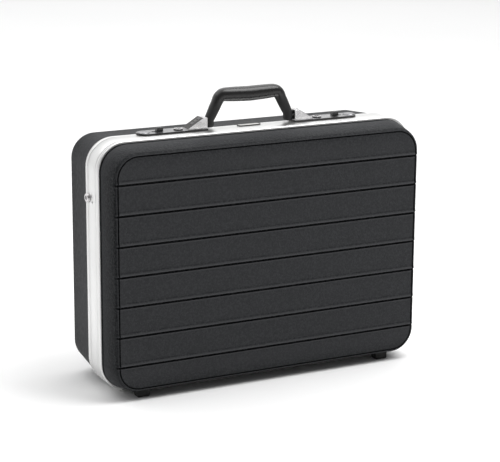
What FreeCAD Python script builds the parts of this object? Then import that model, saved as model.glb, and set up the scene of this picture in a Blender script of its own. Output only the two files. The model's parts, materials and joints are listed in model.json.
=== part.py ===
import FreeCAD, Part
import math
import os
import Sketcher
from FreeCAD import Placement, Rotation, Vector

# An attache case: two moulded shells held in a wide aluminium frame, hinged along the bottom edge.
# X runs along the width, Z is up and the lid faces -Y. The case stands on its feet at Z = 0.

doc = FreeCAD.newDocument("attache_case")
sheet = doc.addObject("Spreadsheet::Sheet", "Dims")

DIMENSIONS = [
    # whole case
    ("case_width", 460.0), ("case_height", 332.3), ("case_depth", 154.0), ("floor_gap", 4.5),
    ("frame_radius", 38.0), ("frame_wall", 2.2), ("parting_gap", 0.3), ("slip", 0.3),
    ("weld", 0.1), ("overcut", 1.0),
    ("lid_frame_depth", 9.2), ("base_frame_depth", 35.8), ("frame_groove_from_back", 9.8),
    ("frame_groove_width", 1.4), ("frame_groove_depth", 0.7), ("tongue_reach", 4.0),
    ("tongue_inset", 0.5), ("tongue_wall", 1.5), ("tongue_root", 3.5), ("joiner_half", 30.0),
    ("joiner_thickness", 1.5), ("joiner_gap", 1.0),
    # shells
    ("shell_wall", 3.0), ("shell_inset", 2.7), ("shell_radius", 35.5), ("lid_shell_depth", 38.4),
    ("panel_width", 444.0), ("panel_height", 315.0), ("panel_radius", 32.0),
    ("panel_fillet", 4.0), ("lid_flange", 3.8), ("base_flange", 6.0), ("crease_inset", 2.2),
    ("crease_width", 1.4), ("crease_depth", 1.2), ("rib_pitch", 40.1), ("rib_height", 1.6),
    ("rib_slope", 5.3), ("rib_drop", 2.4), ("rib_root", 0.5), ("rib_count", 7.0),
    # linings and pocket
    ("lining_gap", 0.3), ("lining_wall", 1.5), ("pocket_width", 380.0), ("pocket_height", 210.0),
    ("pocket_depth", 14.0), ("pocket_wall", 2.0), ("pocket_drop", 20.0),
    # feet
    ("foot_spread", 180.0), ("foot_width", 18.0), ("foot_depth", 14.0), ("foot_fillet", 2.0),
    ("foot_seat", 6.0), ("lid_foot_inset", 12.0), ("base_foot_inset", 24.0),
    # hinge
    ("hinge_length", 400.0), ("hinge_axis_height", 2.3), ("knuckle_radius", 1.9),
    ("knuckle_length", 20.0), ("knuckle_gap", 0.4), ("hinge_pin_radius", 1.0),
    ("running_gap", 0.05), ("leaf_thickness", 1.0), ("lid_leaf_width", 8.6),
    ("base_leaf_width", 13.0), ("hinge_rivet_radius", 1.5), ("hinge_rivet_pitch", 60.0),
    ("hinge_rivet_head", 0.8),
    # locks
    ("lock_line", 32.2), ("plate_half_width", 12.0), ("plate_thickness", 2.5),
    ("plate_inner", 65.2), ("plate_outer", 150.0), ("dome_height", 2.2), ("dome_length", 17.0),
    ("dome_half_width", 8.4), ("dome_centre", 152.8), ("key_position", 103.0),
    ("key_radius", 4.0), ("key_length", 10.0), ("collar_radius", 6.2), ("collar_height", 1.6),
    ("plug_recess", 0.4), ("cam_length", 8.0), ("cam_width", 4.0), ("cam_thickness", 1.5),
    ("keyhole_width", 1.2), ("keyhole_length", 5.0), ("keyhole_depth", 3.0),
    ("knob_position", 130.5), ("knob_length", 9.0), ("knob_width", 7.0), ("knob_height", 5.0),
    ("knob_travel", 8.0), ("stem_length", 4.0), ("stem_width", 4.0), ("bolt_thickness", 2.0),
    ("bolt_width", 7.0), ("nose_reach", 4.0), ("nose_length", 5.0), ("latch_gap", 0.5),
    ("lock_depth", 8.0), ("keeper_position", 117.0), ("keeper_width", 9.0),
    ("keeper_thickness", 1.5), ("keeper_drop", 2.8), ("keeper_reach", 24.0),
    ("keeper_front", 1.4), ("keeper_post", 1.0), ("keeper_hook", 2.0), ("lock_rivet_radius", 1.6),
    ("lock_rivet_head", 1.2), ("lock_rivet_near", 89.2), ("lock_rivet_far", 152.0),
    # number wheels and their housing, measured from the frame's top face
    ("wedge_inner", 65.0), ("wedge_shoulder", 71.0), ("wedge_toe", 93.0), ("wedge_top", 16.5),
    ("wedge_toe_height", 3.5), ("wedge_half_width", 9.0), ("wheel_radius", 3.6),
    ("wheel_depth", 2.5), ("wheel_thickness", 4.9), ("wheel_pitch", 5.4), ("first_wheel", 11.2),
    ("wheel_shaft_radius", 1.0), ("shaft_start", 2.0), ("shaft_end", 1.0),
    # handle, heights from the frame's top face
    ("pivot_height", 8.5), ("pivot_radius", 2.5), ("pivot_reach", 2.8), ("pivot_inset", 1.0),
    ("hub_radius", 6.0), ("hub_fillet", 5.8), ("hub_outer", 64.5), ("hub_inner", 53.0),
    ("shoulder_height", 12.5), ("handle_top", 52.5), ("handle_top_half", 47.5),
    ("grip_under", 32.7), ("under_half", 39.0), ("handle_thickness", 13.0), ("bridge_top", 47.5),
    ("bridge_under", 37.5), ("grip_half_length", 38.5), ("grip_depth", 20.0),
    ("grip_end_depth", 17.5), ("grip_end_height", 17.0),
    # badge
    ("badge_length", 34.0), ("badge_width", 11.0), ("badge_thickness", 1.2),
    # lid stays, measured from the hinge axis
    ("stay_ratio", 0.5), ("stay_travel", 80.0), ("stay_lid_y", 7.3), ("stay_lid_z", 88.0),
    ("stay_base_y", 13.0), ("stay_base_z", 238.0), ("stay_plane", 219.5), ("stay_thickness", 1.2),
    ("stay_half_width", 5.0), ("stay_pin_radius", 2.0), ("stay_slot_gap", 0.3),
    ("stay_pivot_radius", 1.6), ("post_head", 1.2), ("post_head_thickness", 1.0),
    ("bracket_half", 12.0), ("track_thickness", 1.9), ("track_over", 9.0),
    ("track_bottom", 102.0), ("stud_height", 258.3), ("stud_behind", 23.4), ("stud_radius", 6.0),
    ("stud_reach", 3.6), ("stud_fillet", 1.5), ("stud_cap_radius", 3.0), ("stud_cap_reach", 1.0),
    ("small_rivet_radius", 2.0), ("small_rivet_reach", 1.2), ("small_rivet_offset", 11.5),
    ("small_rivet_drop", 4.0),
]


def fill_sheet():
    """Write every driving dimension to the sheet under its own alias."""
    for row, (alias, number) in enumerate(DIMENSIONS, start=1):
        sheet.set(f"A{row}", alias)
        sheet.set(f"B{row}", str(number))
        sheet.setAlias(f"B{row}", alias)
    doc.recompute()


fill_sheet()


def value(expression):
    """The number that an expression of sheet cells gives."""
    return float(sheet.evalExpression(str(expression)))


def d(alias):
    """An expression that reads one cell of the sheet."""
    return f"Dims.{alias}"


# Levels that many pieces share, as expressions of the cells.
FRONT = "(-Dims.case_depth / 2)"
BACK = "(Dims.case_depth / 2)"
LID_EDGE = "(-Dims.case_depth / 2 + Dims.lid_shell_depth)"
LID_PARTING = f"({LID_EDGE} + Dims.lid_frame_depth)"
PARTING = f"({LID_PARTING} + Dims.parting_gap)"
HINGE_Y = f"({LID_PARTING} + Dims.parting_gap / 2)"
BASE_EDGE = f"({PARTING} + Dims.base_frame_depth)"
CENTRE = "(Dims.floor_gap + Dims.case_height / 2)"
BOTTOM = "Dims.floor_gap"
TOP = "(Dims.floor_gap + Dims.case_height)"
LOCK_Y = f"({FRONT} + Dims.lid_shell_depth + Dims.lock_line)"
ROOF = f"({TOP} - Dims.frame_wall)"
STUD = (f"{HINGE_Y} + Dims.stud_behind", "Dims.hinge_axis_height + Dims.stud_height")

SAME = 0.01

nodes = []


def finish(item, label):
    """Name a finished sub-part; the label is also its file name."""
    item.Label = label
    nodes.append(item)
    return item


def bind(item, prop, expression):
    item.setExpression(prop, str(expression))


def move(item, x, y, z):
    """Bind an object's position to three expressions."""
    for axis, expression in zip("xyz", (x, y, z)):
        bind(item, f"Placement.Base.{axis}", expression)


def ordered(first, second):
    """Two expressions, the smaller one first."""
    return (first, second) if value(first) <= value(second) else (second, first)


def box(name, xs, ys, zs):
    """A block between two expressions on each axis."""
    item = doc.addObject("Part::Box", name)
    lows = []
    for prop, pair in zip(("Length", "Width", "Height"), (xs, ys, zs)):
        low, high = ordered(*pair)
        bind(item, prop, f"({high}) - ({low})")
        lows.append(low)
    move(item, *lows)
    return item


TURNS = {
    "x": Rotation(Vector(0, 1, 0), 90),
    "y": Rotation(Vector(1, 0, 0), -90),
    "z": Rotation(),
}


def cylinder(name, axis, radius, span, across):
    """A round bar along one axis; across holds its two other coordinates, in X, Y, Z order."""
    item = doc.addObject("Part::Cylinder", name)
    item.Placement = Placement(Vector(), TURNS[axis])
    low, high = ordered(*span)
    bind(item, "Radius", radius)
    bind(item, "Height", f"({high}) - ({low})")
    where = list(across)
    where.insert("xyz".index(axis), low)
    move(item, *where)
    return item


def fuse(name, *items):
    item = doc.addObject("Part::MultiFuse", name)
    item.Shapes = list(items)
    return item


def cut(name, base, *tools):
    """The base with every tool taken away."""
    tool = tools[0] if len(tools) == 1 else fuse(name + "_tools", *tools)
    item = doc.addObject("Part::Cut", name)
    item.Base = base
    item.Tool = tool
    return item


def group(name, items):
    """Separate identical solids that share one node."""
    item = doc.addObject("Part::Compound", name)
    item.Links = list(items)
    return item


def new_body(name):
    return doc.addObject("PartDesign::Body", name)


def origin_feature(body, role):
    return [item for item in body.Origin.OriginFeatures if item.Role == role][0]


def new_sketch(body, name, role, level, height="0"):
    """A sketch on one of the body's own planes, moved along the plane's normal and up."""
    sketch = body.newObject("Sketcher::SketchObject", name)
    sketch.AttachmentSupport = (origin_feature(body, role), [""])
    sketch.MapMode = "FlatFace"
    bind(sketch, "AttachmentOffset.Base.z", level)
    bind(sketch, "AttachmentOffset.Base.y", height)
    return sketch


def add_named(sketch, name, expression, *constraint):
    """A dimension of a sketch, bound to the sheet."""
    number = sketch.addConstraint(Sketcher.Constraint(*constraint, value(expression)))
    sketch.renameConstraint(number, name)
    bind(sketch, f"Constraints.{name}", expression)


def rounded_rectangle(sketch, width, height, radius, tag=""):
    """Four lines and four quarter arcs, centred on the sketch's origin."""
    half_x = value(width) / 2
    half_z = value(height) / 2
    r = value(radius)
    first = sketch.GeometryCount
    corners = [(1, 1), (-1, 1), (-1, -1), (1, -1)]
    for quarter, (sx, sz) in enumerate(corners):
        centre = Vector(sx * (half_x - r), sz * (half_z - r), 0)
        circle = Part.Circle(centre, Vector(0, 0, 1), r)
        start = quarter * math.pi / 2
        sketch.addGeometry(Part.ArcOfCircle(circle, start, start + math.pi / 2), False)
    for quarter in range(4):
        start = sketch.Geometry[first + quarter].EndPoint
        end = sketch.Geometry[first + (quarter + 1) % 4].StartPoint
        sketch.addGeometry(Part.LineSegment(start, end), False)
    for quarter in range(4):
        arc = first + quarter
        line = first + 4 + quarter
        after = first + (quarter + 1) % 4
        sketch.addConstraint(Sketcher.Constraint("Tangent", arc, 2, line, 1))
        sketch.addConstraint(Sketcher.Constraint("Tangent", line, 2, after, 1))
        sketch.addConstraint(Sketcher.Constraint("Vertical" if quarter % 2 else "Horizontal", line))
        if quarter:
            sketch.addConstraint(Sketcher.Constraint("Equal", first, arc))
    sketch.addConstraint(Sketcher.Constraint("Symmetric", first, 3, first + 2, 3, -1, 1))
    add_named(sketch, "radius" + tag, radius, "Radius", first)
    add_named(sketch, "width" + tag, width, "DistanceX", first + 1, 2, first, 1)
    add_named(sketch, "height" + tag, height, "DistanceY", first + 3, 1, first, 2)


def case_outline(body, name, level, width, height, radius):
    """A rounded rectangle round the case's middle, across the depth at one level."""
    sketch = new_sketch(body, name, "XZ_Plane", f"-({level})", CENTRE)
    rounded_rectangle(sketch, width, height, radius)
    return sketch


def polygon(body, name, role, level, points, height="0"):
    """A closed outline of straight lines through points given as pairs of expressions."""
    sketch = new_sketch(body, name, role, level, height)
    places = [Vector(value(x), value(y), 0) for x, y in points]
    count = len(places)
    for number in range(count):
        sketch.addGeometry(Part.LineSegment(places[number], places[(number + 1) % count]), False)
    for number in range(count):
        sketch.addConstraint(Sketcher.Constraint("Coincident", number, 2, (number + 1) % count, 1))
    for number, (x, y) in enumerate(points):
        add_named(sketch, f"x{number}", x, "DistanceX", -1, 1, number, 1)
        add_named(sketch, f"y{number}", y, "DistanceY", -1, 1, number, 1)
    return sketch


def pad(body, name, sketch, length, reverse=False, both=False):
    item = body.newObject("PartDesign::Pad", name)
    item.Profile = sketch
    bind(item, "Length", length)
    item.Reversed = reverse
    item.Midplane = both
    return item


def pocket(body, name, sketch, length, reverse=False, both=False):
    item = body.newObject("PartDesign::Pocket", name)
    item.Profile = sketch
    bind(item, "Length", length)
    item.Reversed = reverse
    item.Midplane = both
    return item


def loft(body, name, kind, first, second):
    """A ruled loft between two outlines, always built towards -Y, the way the outlines face."""
    doc.recompute()
    if first.Placement.Base.y < second.Placement.Base.y:
        first, second = second, first
    item = body.newObject(f"PartDesign::{kind}Loft", name)
    item.Profile = first
    item.Sections = [second]
    item.Ruled = True
    return item


def fillet(body, name, base, edges, radius):
    doc.recompute()
    item = body.newObject("PartDesign::Fillet", name)
    numbers = [f"Edge{n}" for n, edge in enumerate(base.Shape.Edges, start=1) if edges(edge)]
    item.Base = (base, numbers)
    bind(item, "Radius", radius)
    return item


def flat_edge(axis, level):
    """A test for edges that lie at one level of an axis."""
    target = value(level)

    def test(edge):
        bounds = edge.BoundBox
        low = getattr(bounds, axis + "Min")
        high = getattr(bounds, axis + "Max")
        return abs(low - target) < SAME and abs(high - target) < SAME
    return test


def ring(body, name, level, depth, inset, wall):
    """A closed band that follows the frame's outline, inset from it, running back from a level."""
    sketch = new_sketch(body, name + "_outline", "XZ_Plane", f"-({level})", CENTRE)
    for tag, shrink in (("_outer", inset), ("_inner", f"({inset}) + ({wall})")):
        rounded_rectangle(
            sketch, f"Dims.case_width - 2 * ({shrink})", f"Dims.case_height - 2 * ({shrink})",
            f"Dims.frame_radius - ({shrink})", tag)
    return pad(body, name, sketch, depth, reverse=True)


def groove_ring(body, name, level, depth, width):
    """A shallow groove round the outside of a frame."""
    sketch = new_sketch(body, name + "_outline", "XZ_Plane", f"-({level})", CENTRE)
    for tag, shrink in (("_outer", "-Dims.overcut"), ("_inner", depth)):
        rounded_rectangle(
            sketch, f"Dims.case_width - 2 * ({shrink})", f"Dims.case_height - 2 * ({shrink})",
            f"Dims.frame_radius - ({shrink})", tag)
    return pocket(body, name, sketch, width)


def lid_frame():
    body = new_body("LidFrame")
    ring(body, "lid_band", LID_EDGE, d("lid_frame_depth"), "0", d("frame_wall"))
    return finish(body, "lid_frame")


def base_frame():
    """The wide band, its tongue that reaches into the lid frame, and the openings for the locks."""
    body = new_body("BaseFrame")
    ring(body, "base_band", PARTING, d("base_frame_depth"), "0", d("frame_wall"))
    root = f"{PARTING} - Dims.tongue_reach"
    inset = "Dims.frame_wall + Dims.tongue_inset"
    ring(body, "tongue", root, "Dims.tongue_reach + Dims.tongue_root", inset, d("tongue_wall"))
    ring(body, "tongue_foot", PARTING, d("tongue_root"), "Dims.frame_wall - Dims.weld",
         "Dims.tongue_inset + 2 * Dims.weld")
    groove_ring(body, "band_groove", f"{BASE_EDGE} - Dims.frame_groove_from_back",
                d("frame_groove_depth"), d("frame_groove_width"))
    tools = []
    for side in (-1, 1):
        tools += lock_openings(f"frame_cut_{side_name(side)}", side, f"{ROOF} - Dims.lock_depth",
                               f"{TOP} + Dims.overcut")
        tools.append(stud_hole(side))
    return finish(cut("BaseFrameCut", body, *tools), "base_frame")


def side_name(side):
    return "left" if side < 0 else "right"


def lock_openings(name, side, low, high):
    """The slot for the knob's stem and the hole for the key plug."""
    reach = f"{side} * (Dims.knob_position + Dims.knob_travel + Dims.stem_length / 2 + Dims.slip)"
    near = f"{side} * (Dims.knob_position - Dims.stem_length / 2 - Dims.slip)"
    half = "(Dims.stem_width / 2 + Dims.slip)"
    slot = box(name + "_slot", (near, reach), (f"{LOCK_Y} - {half}", f"{LOCK_Y} + {half}"), (low, high))
    hole = cylinder(name + "_key", "z", "Dims.key_radius + Dims.running_gap", (low, high),
                    (f"{side} * Dims.key_position", LOCK_Y))
    return [slot, hole]


def stud_hole(side):
    """The hole across the frame's side wall for the stud's shank."""
    inner = f"{side} * (Dims.case_width / 2 - Dims.frame_wall - Dims.overcut)"
    outer = f"{side} * (Dims.case_width / 2 + Dims.overcut)"
    return cylinder(f"stud_hole_{side_name(side)}", "x", d("stud_cap_radius"), (inner, outer), STUD)


def shell(name, edge, far, flange, direction):
    """A drafted tray: a straight flange inside the frame, then walls that lean in to a rounded panel."""
    body = new_body(name)
    back = "-" if direction > 0 else "+"
    wide = "Dims.case_width - 2 * Dims.shell_inset"
    tall = "Dims.case_height - 2 * Dims.shell_inset"
    mouth = case_outline(body, name + "_mouth", edge, wide, tall, d("shell_radius"))
    panel = case_outline(body, name + "_panel", far, d("panel_width"), d("panel_height"), d("panel_radius"))
    outer = loft(body, name + "_outer", "Additive", mouth, panel)
    outer = fillet(body, name + "_round", outer, flat_edge("Y", far), d("panel_fillet"))
    lip = case_outline(body, name + "_lip", edge, wide, tall, d("shell_radius"))
    pad(body, name + "_flange", lip, flange, reverse=direction < 0)
    inner_wide = f"{wide} - 2 * Dims.shell_wall"
    inner_tall = f"{tall} - 2 * Dims.shell_wall"
    inner_radius = "Dims.shell_radius - Dims.shell_wall"
    core = case_outline(body, name + "_core", edge, inner_wide, inner_tall, inner_radius)
    floor = case_outline(
        body, name + "_floor", f"{far} {back} Dims.shell_wall", "Dims.panel_width - 2 * Dims.shell_wall",
        "Dims.panel_height - 2 * Dims.shell_wall", "Dims.panel_radius - Dims.shell_wall")
    loft(body, name + "_hollow", "Subtractive", core, floor)
    mouth_core = case_outline(body, name + "_mouth_core", edge, inner_wide, inner_tall, inner_radius)
    pocket(body, name + "_mouth_hollow", mouth_core, f"{flange} + Dims.overcut", reverse=direction > 0)
    return body


def crease(body, far):
    """The thin groove that sets the flat front panel off from its rounded border."""
    sketch = new_sketch(body, "crease_outline", "XZ_Plane", f"-({far})", CENTRE)
    for tag, shrink in (("_outer", d("crease_inset")), ("_inner", "Dims.crease_inset + Dims.crease_width")):
        rounded_rectangle(
            sketch, f"Dims.panel_width - 2 * ({shrink})", f"Dims.panel_height - 2 * ({shrink})",
            f"Dims.panel_radius - ({shrink})", tag)
    pocket(body, "crease", sketch, d("crease_depth"))


def ribs(body):
    """Lapped ridges across the panel: a long slope that faces up, then a short drop."""
    lowest = f"({CENTRE} - Dims.rib_pitch * (Dims.rib_count - 1) / 2)"
    outline = polygon(body, "rib_outline", "YZ_Plane", "0", [
        (f"{FRONT} + Dims.rib_root", f"{lowest} - Dims.rib_drop"),
        (FRONT, f"{lowest} - Dims.rib_drop"),
        (f"{FRONT} - Dims.rib_height", lowest),
        (FRONT, f"{lowest} + Dims.rib_slope"),
        (f"{FRONT} + Dims.rib_root", f"{lowest} + Dims.rib_slope"),
    ])
    ridge = pad(body, "rib", outline, "Dims.panel_width - Dims.panel_fillet", both=True)
    doc.recompute()
    row = body.newObject("PartDesign::LinearPattern", "rib_row")
    row.Originals = [ridge]
    row.Direction = (origin_feature(body, "Z_Axis"), [""])
    bind(row, "Length", "Dims.rib_pitch * (Dims.rib_count - 1)")
    row.Occurrences = int(value("Dims.rib_count"))
    body.Tip = row


def lid_shell():
    body = shell("LidShell", LID_EDGE, FRONT, d("lid_flange"), -1)
    crease(body, FRONT)
    ribs(body)
    return finish(body, "lid_shell")


def base_shell():
    return finish(shell("BaseShell", BASE_EDGE, BACK, d("base_flange"), 1), "base_shell")


def lining(name, label, edge, far, direction):
    """Fabric that follows the inside of a shell."""
    body = new_body(name)
    back = "-" if direction > 0 else "+"
    outer = []
    inner = []
    for sketches, extra in ((outer, "Dims.lining_gap"), (inner, "(Dims.lining_gap + Dims.lining_wall)")):
        off = f"(Dims.shell_wall + {extra})"
        tag = "inner" if sketches is inner else "outer"
        sketches.append(case_outline(
            body, f"{name}_mouth_{tag}", edge, f"Dims.case_width - 2 * Dims.shell_inset - 2 * {off}",
            f"Dims.case_height - 2 * Dims.shell_inset - 2 * {off}", f"Dims.shell_radius - {off}"))
        sketches.append(case_outline(
            body, f"{name}_floor_{tag}", f"{far} {back} {off}", f"Dims.panel_width - 2 * {off}",
            f"Dims.panel_height - 2 * {off}", f"Dims.panel_radius - {off}"))
    loft(body, name + "_outer", "Additive", *outer)
    loft(body, name + "_hollow", "Subtractive", *inner)
    return finish(body, label)


def document_pocket():
    """A flat open-topped pocket against the inside of the lid."""
    back = f"{FRONT} + Dims.shell_wall + Dims.lining_gap + Dims.lining_wall"
    half = "Dims.pocket_width / 2"
    low = f"{CENTRE} - Dims.pocket_height / 2 - Dims.pocket_drop"
    high = f"{low} + Dims.pocket_height"
    outer = box("pocket_outer", (f"-{half}", half), (back, f"{back} + Dims.pocket_depth"), (low, high))
    inner = box("pocket_inner", (f"-{half} + Dims.pocket_wall", f"{half} - Dims.pocket_wall"),
                (f"{back} - Dims.overcut", f"{back} + Dims.pocket_depth - Dims.pocket_wall"),
                (f"{low} + Dims.pocket_wall", f"{high} + Dims.overcut"))
    return finish(cut("DocumentPocket", outer, inner), "document_pocket")


def feet(label, y):
    """Two rubber feet let into the underside of a shell."""
    items = []
    roof = f"{BOTTOM} + Dims.shell_inset + Dims.foot_seat"
    for side in (-1, 1):
        half = "Dims.foot_width / 2"
        centre = f"{side} * Dims.foot_spread"
        block = box(f"{label}_{side_name(side)}", (f"{centre} - {half}", f"{centre} + {half}"),
                    (f"{y} - Dims.foot_depth / 2", f"{y} + Dims.foot_depth / 2"), ("0", roof))
        doc.recompute()
        soft = doc.addObject("Part::Fillet", f"{label}_{side_name(side)}_soft")
        soft.Base = block
        radius = value("Dims.foot_fillet")
        top = block.Shape.BoundBox.ZMax
        soft.Edges = [(n, radius, radius) for n, edge in enumerate(block.Shape.Edges, start=1)
                      if edge.BoundBox.ZMin < top / 2]
        items.append(soft)
    return items


def lid_feet():
    items = feet("lid_foot", f"({LID_EDGE} - Dims.foot_depth / 2 - Dims.lid_foot_inset)")
    blocks = group("lid_feet_blocks", items)
    return finish(cut("LidFeet", blocks, doc.getObject("LidShell_outer")), "lid_feet")


def base_feet():
    items = feet("base_foot", f"({BASE_EDGE} + Dims.foot_depth / 2 + Dims.base_foot_inset)")
    blocks = group("base_feet_blocks", items)
    return finish(cut("BaseFeet", blocks, doc.getObject("BaseShell_outer")), "base_feet")


def hinge_leaf(name, label, side):
    """One leaf of the long hinge; its knuckles alternate with the other leaf's."""
    far = f"{HINGE_Y} + {side} * Dims.{'base' if side > 0 else 'lid'}_leaf_width"
    near = f"{HINGE_Y} + {side} * (Dims.knuckle_radius + Dims.slip)"
    half = "Dims.hinge_length / 2"
    upper = (f"{BOTTOM} - Dims.leaf_thickness", BOTTOM)
    pieces = [box(name + "_leaf", (f"-{half}", half), (near, far), upper)]
    count = int(value("Dims.hinge_length / Dims.knuckle_length"))
    for number in range(0 if side > 0 else 1, count, 2):
        start = f"-{half} + {number} * Dims.knuckle_length + Dims.knuckle_gap / 2"
        end = f"-{half} + {number + 1} * Dims.knuckle_length - Dims.knuckle_gap / 2"
        across = (HINGE_Y, d("hinge_axis_height"))
        barrel = cylinder(f"{name}_barrel{number}", "x", d("knuckle_radius"), (start, end), across)
        web = box(f"{name}_web{number}", (start, end), (HINGE_Y, f"{near} + {side}"),
                  (f"{BOTTOM} - Dims.leaf_thickness", f"{BOTTOM} - Dims.slip"))
        pieces += [barrel, web]
    solid = fuse(name + "_solid", *pieces)
    span = (f"-{half} - Dims.overcut", f"{half} + Dims.overcut")
    bore = cylinder(name + "_bore", "x", "Dims.hinge_pin_radius + Dims.running_gap", span,
                    (HINGE_Y, d("hinge_axis_height")))
    return finish(cut(name, solid, bore), label)


def hinge_pin():
    half = "Dims.hinge_length / 2"
    return finish(cylinder("HingePin", "x", d("hinge_pin_radius"), (f"-{half}", half),
                           (HINGE_Y, d("hinge_axis_height"))), "hinge_pin")


def hinge_rivets(label, side):
    """Flat rivet heads under one hinge leaf."""
    width = f"Dims.{'base' if side > 0 else 'lid'}_leaf_width"
    y = f"{HINGE_Y} + {side} * ({width} + Dims.knuckle_radius) / 2"
    items = []
    high = f"{BOTTOM} - Dims.leaf_thickness"
    for number in range(-3, 4):
        x = f"{number} * Dims.hinge_rivet_pitch"
        items.append(cylinder(f"{label}_{number + 3}", "z", d("hinge_rivet_radius"),
                              (f"{high} - Dims.hinge_rivet_head", high), (x, y)))
    return finish(group(label + "_group", items), label)


def lock_plate(side):
    """The long plate on the frame: square at the handle, round and domed at its outer end."""
    name = f"lock_plate_{side_name(side)}"
    half = d("plate_half_width")
    end = f"{side} * Dims.plate_outer"
    span = (TOP, f"{TOP} + Dims.plate_thickness")
    ys = (f"{LOCK_Y} - {half}", f"{LOCK_Y} + {half}")
    bar = box(name + "_bar", (f"{side} * Dims.plate_inner", end), ys, span)
    tip = cylinder(name + "_tip", "z", half, span, (end, LOCK_Y))
    dome = doc.addObject("Part::Ellipsoid", name + "_dome")
    bind(dome, "Radius1", d("dome_height"))
    bind(dome, "Radius2", "Dims.dome_length / 2")
    bind(dome, "Radius3", d("dome_half_width"))
    dome.Angle1 = 0
    if side > 0:
        # The right dome is the left one turned round, so both keep their seam on the inner side.
        dome.Placement.Rotation = Rotation(Vector(0, 0, 1), 180)
    move(dome, f"{side} * Dims.dome_centre", LOCK_Y, f"{TOP} + Dims.plate_thickness")
    solid = fuse(name + "_solid", bar, tip, dome)
    tools = lock_openings(name + "_cut", side, f"{TOP} - Dims.overcut",
                          f"{TOP} + Dims.plate_thickness + Dims.overcut")
    return finish(cut(name + "_cut_done", solid, *tools), name)


def key_collar(side):
    """The ring round the key plug."""
    name = f"key_collar_{side_name(side)}"
    low = f"{TOP} + Dims.plate_thickness"
    across = (f"{side} * Dims.key_position", LOCK_Y)
    outer = cylinder(name + "_outer", "z", d("collar_radius"), (low, f"{low} + Dims.collar_height"), across)
    bore = cylinder(name + "_bore", "z", "Dims.key_radius + Dims.running_gap",
                    (f"{low} - Dims.overcut", f"{low} + Dims.collar_height + Dims.overcut"), across)
    return finish(cut(name + "_ring", outer, bore), name)


def key_plug(side):
    """The turning plug, with its key slit above and its cam below the frame."""
    name = f"key_plug_{side_name(side)}"
    face = f"{TOP} + Dims.plate_thickness + Dims.collar_height - Dims.plug_recess"
    foot = f"{face} - Dims.key_length"
    x = f"{side} * Dims.key_position"
    plug = cylinder(name + "_barrel", "z", d("key_radius"), (foot, face), (x, LOCK_Y))
    cam = box(name + "_cam", (f"{x} - Dims.cam_width / 2", f"{x} + Dims.cam_width / 2"),
              (f"{LOCK_Y} - Dims.cam_length", LOCK_Y), (f"{foot} - Dims.cam_thickness", foot))
    slit = box(name + "_slit", (f"{x} - Dims.keyhole_length / 2", f"{x} + Dims.keyhole_length / 2"),
               (f"{LOCK_Y} - Dims.keyhole_width / 2", f"{LOCK_Y} + Dims.keyhole_width / 2"),
               (f"{face} - Dims.keyhole_depth", f"{face} + Dims.overcut"))
    return finish(cut(name + "_done", fuse(name + "_solid", plug, cam), slit), name)


def slide_knob(side):
    """The black thumb knob and the stem that goes down through the plate and the frame."""
    name = f"slide_knob_{side_name(side)}"
    x = f"{side} * Dims.knob_position"
    low = f"{TOP} + Dims.plate_thickness + Dims.slip"
    cap = box(name + "_cap", (f"{x} - Dims.knob_length / 2", f"{x} + Dims.knob_length / 2"),
              (f"{LOCK_Y} - Dims.knob_width / 2", f"{LOCK_Y} + Dims.knob_width / 2"),
              (low, f"{low} + Dims.knob_height"))
    stem = box(name + "_stem", (f"{x} - Dims.stem_length / 2", f"{x} + Dims.stem_length / 2"),
               (f"{LOCK_Y} - Dims.stem_width / 2", f"{LOCK_Y} + Dims.stem_width / 2"),
               (f"{ROOF} - Dims.slip", low))
    return finish(fuse(name + "_solid", cap, stem), name)


def latch_bolt(side):
    """The bar under the frame that the knob pushes; its nose holds the lid's keeper."""
    name = f"latch_bolt_{side_name(side)}"
    outer = f"{side} * (Dims.knob_position + Dims.stem_length / 2)"
    inner = f"{side} * (Dims.keeper_position + Dims.keeper_width / 2 + Dims.latch_gap)"
    nose_back = f"{inner} + {side} * Dims.nose_length"
    ys = (f"{LOCK_Y} - Dims.bolt_width / 2", f"{LOCK_Y} + Dims.bolt_width / 2")
    high = f"{ROOF} - Dims.slip"
    low = f"{high} - Dims.bolt_thickness"
    bar = box(name + "_bar", (inner, outer), ys, (low, high))
    nose = box(name + "_nose", (inner, nose_back), ys, (f"{low} - Dims.nose_reach", low))
    return finish(fuse(name + "_solid", bar, nose), name)


def keeper(side):
    """The lid's hook: it hangs from the lid frame and reaches back under the base frame."""
    name = f"keeper_{side_name(side)}"
    x = f"{side} * Dims.keeper_position"
    xs = (f"{x} - Dims.keeper_width / 2", f"{x} + Dims.keeper_width / 2")
    front = f"{LID_PARTING} - Dims.tongue_reach - Dims.keeper_front"
    root = f"{front} + Dims.keeper_post"
    reach = f"{root} + Dims.keeper_reach"
    low = f"{ROOF} - Dims.keeper_drop - Dims.keeper_thickness"
    post = box(name + "_post", xs, (front, root), (low, ROOF))
    tab = box(name + "_tab", xs, (front, reach), (low, f"{low} + Dims.keeper_thickness"))
    hook = box(name + "_hook", xs, (f"{reach} - Dims.keeper_thickness", reach),
               (f"{low} - Dims.keeper_hook", f"{low} + Dims.keeper_thickness"))
    return finish(fuse(name + "_solid", post, tab, hook), name)


def lock_rivets(side):
    """Two rivets that hold the lock plate, with heads inside the frame."""
    name = f"lock_rivets_{side_name(side)}"
    items = []
    for end in ("near", "far"):
        items.append(cylinder(f"{name}_{end}", "z", d("lock_rivet_radius"),
                              (f"{ROOF} - Dims.lock_rivet_head", ROOF),
                              (f"{side} * Dims.lock_rivet_{end}", LOCK_Y)))
    return finish(group(name + "_group", items), name)


def slope_angle():
    rise = value("Dims.wedge_top - Dims.wedge_toe_height")
    run = value("Dims.wedge_toe - Dims.wedge_shoulder")
    return math.atan2(rise, run)


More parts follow.
